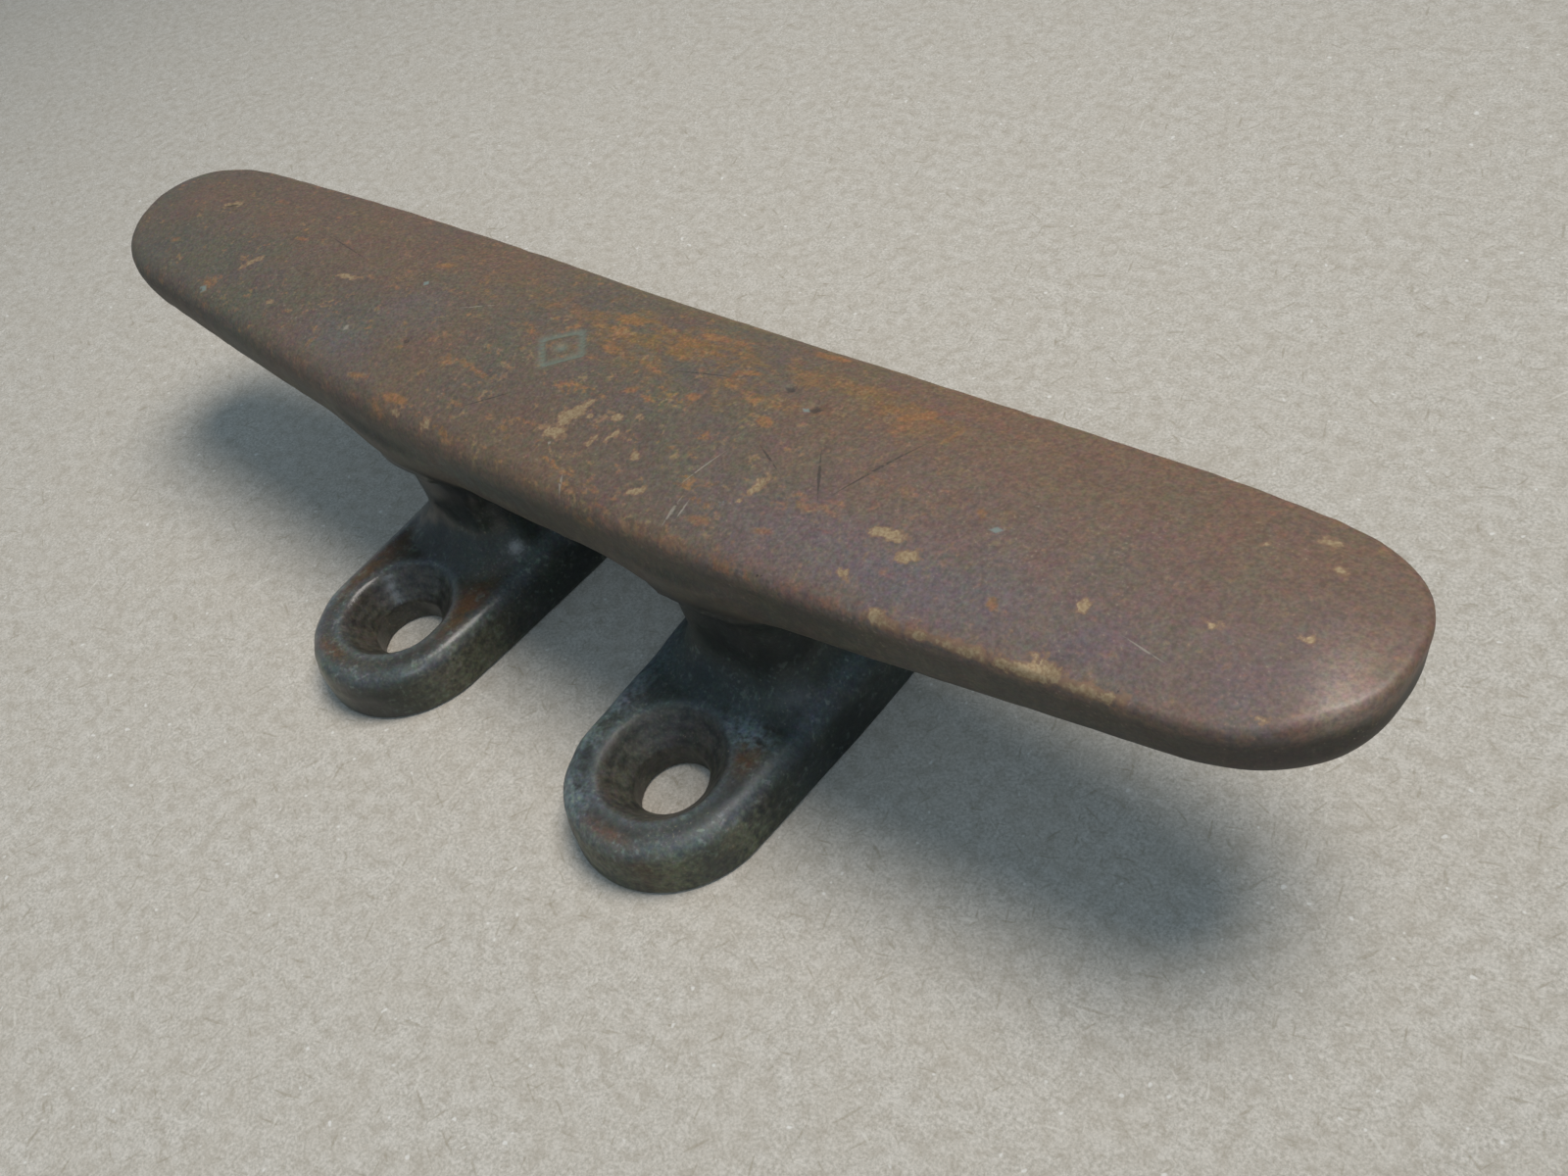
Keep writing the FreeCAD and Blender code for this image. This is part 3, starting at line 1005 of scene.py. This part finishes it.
def foot_finish(tree, tex, shares):
    """Dark grey-green, paler and bluer on top, with brown and yellow-green patches, and rims paler from wear
    and a painted highlight.
    """
    paint = paints(FOOT)
    colour = mix_colour(tree, between(tree, tex["patch"], 0.36, 0.64), paint["base"], paint["base, paler"])
    pale = times(tree, shares["pad"], between(tree, tex["blot"], 0.32, 0.68))
    colour = layer(tree, colour, pale, 0.30, paint["pad"])
    warm = times(tree, shares["pad"], minus(tree, 1.0, shares["dull"]))
    colour = layer(tree, colour, warm, 0.24, paint["pad, warmer"])
    brown = times(tree, shares["brown"], between(tree, tex["fleck"], 0.28, 0.54))
    colour = layer(tree, colour, brown, 0.9, paint["brown"])
    ragged = plus(tree, times(tree, tex["blot"], 0.5), times(tree, tex["fine"], 0.5))
    green = times(tree, shares["green"], between(tree, ragged, 0.36, 0.56))
    colour = layer(tree, colour, green, 0.85, paint["yellow-green"])
    # Pale bloom, and a painted highlight on the right foot's left rim.
    frost_and_highlight = times(tree, shares["frost_and_highlight"], between(tree, ragged, 0.36, 0.58))
    colour = layer(tree, colour, frost_and_highlight, 0.85, paint["frost_and_highlight"])
    verdigris = times(tree, between(tree, tex["fine"], 0.56, 0.66), between(tree, tex["blot"], 0.40, 0.6))
    colour = layer(tree, colour, times(tree, verdigris, shares["rim"]), 0.55, paint["verdigris on a rim"])
    colour = layer(tree, colour, verdigris, 0.30, paint["verdigris"])
    # Paler bluish rims: worn edges, and a painted highlight.
    colour = layer(tree, colour, shares["rim"], 0.40, paint["rim"])
    hole = mix_colour(tree, between(tree, tex["fleck"], 0.35, 0.65), paint["hole"], paint["hole, paler"])
    rings = between(tree, turning_rings(tree, shares), -1.0, 1.0)
    hole = layer(tree, hole, rings, 0.22, paint["turning mark"])
    return layer(tree, colour, shares["hole"], 0.88, hole)


def mottled(tree, tex, colour):
    """Mottling of hue and tone over everything."""
    colour = mix_colour(tree, 0.20, colour, tex["hue"], "OVERLAY")
    colour = mix_colour(tree, 0.28, colour, tex["fine_hue"], "OVERLAY")
    tone = plus(tree, times(tree, tex["grain"], 0.65), times(tree, tex["fine"], 0.35))
    darker = (0.68, 0.68, 0.68, 1.0)
    lighter = (1.32, 1.32, 1.32, 1.0)
    shade = mix_colour(tree, between(tree, tone, 0.3, 0.7), darker, lighter)
    return mix_colour(tree, 0.80, colour, shade, "MULTIPLY")


def worn_through(tree, tex, shares):
    """Where the patina has chipped or worn away, as a rusty fringe and the bare metal in it."""
    chipped = plus(tree, times(tree, tex["fleck"], 0.9), times(tree, tex["fine"], 1.2))
    chipped = plus(tree, shares["worn"], chipped)
    edge_wear = times(tree, times(tree, shares["ridge"], shares["front"]), 0.55)
    edge_wear = plus(tree, plus(tree, edge_wear, tex["blot"]), times(tree, tex["fine"], 0.2))
    fringe = larger(tree, between(tree, chipped, 1.4, 1.6), between(tree, edge_wear, 0.97, 1.06))
    bare = larger(tree, between(tree, chipped, 1.55, 1.8), between(tree, edge_wear, 1.07, 1.19))
    horn_only = minus(tree, 1.0, shares["foot"])
    return times(tree, fringe, horn_only), times(tree, bare, horn_only)


def scratched(tree, tex, shares, colour, paint):
    """Fine scratches and dots on the top of the horn, broken up by the grain."""
    for marks, name in ((DARK_MARKS, "dark mark"), (PALE_MARKS, "pale mark"), (BLUE_MARKS, "blue mark")):
        broken = times(tree, fine_marks(tree, marks), between(tree, tex["fine"], 0.32, 0.48))
        colour = layer(tree, colour, times(tree, broken, shares["top"]), 0.75, paint[name])
    return colour


def bronze_roughness(tree, tex, shares):
    """Matt horn, polished feet with the right one duller, and the rubbed ridge glossier."""
    horn = mix_number(tree, tex["patch"], 0.44, 0.60)
    foot = plus(tree, mix_number(tree, tex["patch"], 0.24, 0.32), times(tree, shares["dull"], 0.20))
    rough = mix_number(tree, shares["foot"], horn, foot)
    rough = plus(tree, rough, times(tree, tex["grain"], 0.06))
    return minus(tree, rough, times(tree, shares["rubbed_and_highlight"], 0.14))


def bronze_height(tree, tex, shares, bare, pits):
    """Relief of the grain, the turning rings, the chips and the pits."""
    height = plus(tree, times(tree, tex["fleck"], 0.5), times(tree, tex["grain"], 0.4))
    height = plus(tree, height, times(tree, times(tree, tex["fine"], shares["foot"]), 0.4))
    rings = times(tree, turning_rings(tree, shares), shares["hole"])
    height = plus(tree, height, times(tree, rings, 0.22))
    height = minus(tree, height, times(tree, bare, 0.4))
    return minus(tree, height, times(tree, pits, 0.5))


def aged_bronze():
    """One material for the whole casting: its patina, then dirt and painted shade, mottling, pits, chips and
    marks.
    """
    material, tree, shader = new_material("aged_bronze")
    tex = bronze_textures(tree)
    shares = {name: share_of(tree, name) for name in SHARES}
    paint = paints(WEAR_AND_SHADE)
    colour = mix_colour(tree, shares["foot"], horn_finish(tree, tex, shares), foot_finish(tree, tex, shares))
    # Dirt and painted shade in an arch where the legs meet the horn.
    colour = layer(tree, colour, shares["dirt_and_shade"], 0.62, paint["dirt_and_shade"])
    colour = mottled(tree, tex, colour)
    pits = times(tree, between(tree, tex["fleck"], 0.30, 0.24), 0.7)
    colour = layer(tree, colour, pits, 1.0, paint["pit"])
    specks = times(tree, between(tree, tex["grain"], 0.66, 0.74), between(tree, tex["patch"], 0.45, 0.6))
    colour = layer(tree, colour, specks, 0.5, paint["speck"])
    fringe, bare = worn_through(tree, tex, shares)
    colour = layer(tree, colour, fringe, 0.7, paint["fringe"])
    metal = mix_colour(tree, between(tree, tex["grain"], 0.3, 0.7), paint["metal"], paint["metal, brighter"])
    colour = layer(tree, colour, bare, 0.85, metal)
    colour = scratched(tree, tex, shares, colour, paint)
    colour = layer(tree, colour, shares["stamp"], 0.75, paint["stamp"])
    tree.links.new(colour, shader.inputs["Base Color"])
    tree.links.new(bronze_roughness(tree, tex, shares), shader.inputs["Roughness"])
    tree.links.new(times(tree, bare, 0.4), shader.inputs["Metallic"])
    add_bump(tree, shader, bronze_height(tree, tex, shares, bare, pits), 0.6, 0.07 * MM)
    return material


# ------------------------------------------------------------------ pieces
skin = raw_mesh("skin", *cast_surface())
bronze = aged_bronze()
# Each piece's name, the CAD node that it replaces, whether it lies above the dividing plane, and
# its side: -1 left, 1 right, 0 both.
PIECES = [
    ("horn_skin", "horn_bar", True, 0),
    ("left_foot_skin", "foot_left", False, -1),
    ("right_foot_skin", "foot_right", False, 1),
]
for name, node, keep_above, side in PIECES:
    mesh = region(skin, name, keep_above, side)
    paint_shares(mesh, shade_smooth(mesh))
    mesh.materials.append(bronze)
    piece = bpy.data.objects.new(name, mesh)
    bpy.context.collection.objects.link(piece)
    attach(piece, "root")
    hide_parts(node)
bpy.data.meshes.remove(skin)


# ------------------------------------------------------------------ floor
PAPER = {
    "sheet, darker": (166, 161, 149),
    "sheet, lighter": (213, 207, 197),
    "cloud": (182, 173, 158),
    "pulp, darker": (164, 155, 140),
    "pulp, lighter": (214, 209, 200),
    "dark fibre": (150, 141, 122),
    "pale fibre": (222, 218, 208),
    "lint": (232, 230, 224),
}
FIBRE_TURNS = (0.3, 1.1, 1.9, 2.7)    # directions in which the fibres lie, in radians


def paper_material():
    """Pale recycled paper: soft mottling, fine tooth, short fibres lying every way, lint."""
    material, tree, shader = new_material("pale_floor")
    place = tree.nodes.new("ShaderNodeTexCoord").outputs["Object"]
    tooth = noise(tree, place, 2900.0, 4.0, 0.8)
    cloud = noise(tree, place, 160.0, 3.0, 0.6)
    pulp = noise(tree, place, 620.0, 4.0, 0.65)
    paint = paints(PAPER)
    sheet = between(tree, tooth, 0.3, 0.7)
    colour = mix_colour(tree, sheet, paint["sheet, darker"], paint["sheet, lighter"])
    colour = layer(tree, colour, between(tree, cloud, 0.35, 0.65), 0.25, paint["cloud"])
    colour = layer(tree, colour, between(tree, pulp, 0.48, 0.66), 0.42, paint["pulp, darker"])
    colour = layer(tree, colour, between(tree, pulp, 0.48, 0.34), 0.32, paint["pulp, lighter"])
    for turn in FIBRE_TURNS:
        fibre = noise(tree, place, 1500.0, 2.0, 0.5, (6.0, 1.0, 1.0), turn)
        colour = layer(tree, colour, between(tree, fibre, 0.66, 0.74), 0.45, paint["dark fibre"])
        colour = layer(tree, colour, between(tree, fibre, 0.30, 0.24), 0.4, paint["pale fibre"])
    lint = between(tree, noise(tree, place, 900.0, 1.0), 0.72, 0.78)
    colour = layer(tree, colour, lint, 0.6, paint["lint"])
    tree.links.new(colour, shader.inputs["Base Color"])
    shader.inputs["Roughness"].default_value = 0.9
    shader.inputs["Specular IOR Level"].default_value = 0.2
    add_bump(tree, shader, tooth, 0.2, 0.12 * MM)
    return material


def pale_floor():
    """A square of paper, 3 m on a side, at the level of the soles."""
    half = 1.5
    corners = [(-half, -half, 0), (half, -half, 0), (half, half, 0), (-half, half, 0)]
    mesh = bpy.data.meshes.new("floor")
    mesh.from_pydata(corners, [], [(0, 1, 2, 3)])
    mesh.materials.append(paper_material())
    floor = bpy.data.objects.new("floor", mesh)
    bpy.context.collection.objects.link(floor)


pale_floor()


# ------------------------------------------------------------------ light
# Places, targets and the discs' diameters in metres, power in watts, spread in degrees.
KEY = {
    "place": (0.165, 0.20, 0.74), "target": (-0.045, -0.01, 0.0),
    "size": 0.42, "power": 0.76, "colour": (1.0, 0.93, 0.87),
}
KEY_SPREAD = 64.0
WINDOW = {
    "place": (0.45, -0.42, 0.60), "target": (0.0, 0.0, 0.0),
    "size": 0.30, "power": 0.9, "colour": (0.72, 0.86, 1.0),
}
ROOM_COLOUR = (0.60, 0.81, 1.0, 1.0)
ROOM_STRENGTH = 0.30


def area_light(name, place, target, size, power, colour):
    """Soft disc of light, aimed at its target."""
    data = bpy.data.lights.new(name, "AREA")
    data.shape = "DISK"
    data.size = size
    data.energy = power
    data.color = colour
    light = bpy.data.objects.new(name, data)
    bpy.context.collection.objects.link(light)
    light.location = place
    aim = Vector(target) - Vector(place)
    light.rotation_euler = aim.to_track_quat("-Z", "Y").to_euler()
    return data


def room_light():
    """Even bluish light from all round."""
    world = bpy.data.worlds.new("room")
    world.use_nodes = True
    background = world.node_tree.nodes["Background"]
    background.inputs["Color"].default_value = ROOM_COLOUR
    background.inputs["Strength"].default_value = ROOM_STRENGTH
    bpy.context.scene.world = world


area_light("key", **KEY).spread = math.radians(KEY_SPREAD)
area_light("window", **WINDOW)
room_light()


# ------------------------------------------------------------------ camera
# Place, target, lens and sensor in millimetres, tilt in radians.
CAMERA_PLACE = Vector((104.2, -63.9, 116.2))
CAMERA_TARGET = Vector((10.9, 5.25, -2.55))
CAMERA_TILT = -0.340
CAMERA_LENS = 33.66
SENSOR_WIDTH = 36.0


def scene_camera():
    """Camera at the photograph's viewing angle."""
    data = bpy.data.cameras.new("camera")
    data.sensor_width = SENSOR_WIDTH
    data.lens = CAMERA_LENS
    data.clip_start = 5.0 * MM
    camera = bpy.data.objects.new("camera", data)
    bpy.context.collection.objects.link(camera)
    camera.location = CAMERA_PLACE * MM
    aim = (CAMERA_TARGET - CAMERA_PLACE) * MM
    tilt = Quaternion((0.0, 0.0, 1.0), CAMERA_TILT)
    camera.rotation_mode = "QUATERNION"
    camera.rotation_quaternion = aim.to_track_quat("-Z", "Y") @ tilt
    return camera


bpy.context.scene.camera = scene_camera()
bpy.context.scene.view_settings.view_transform = "Standard"

bpy.context.view_layer.update()
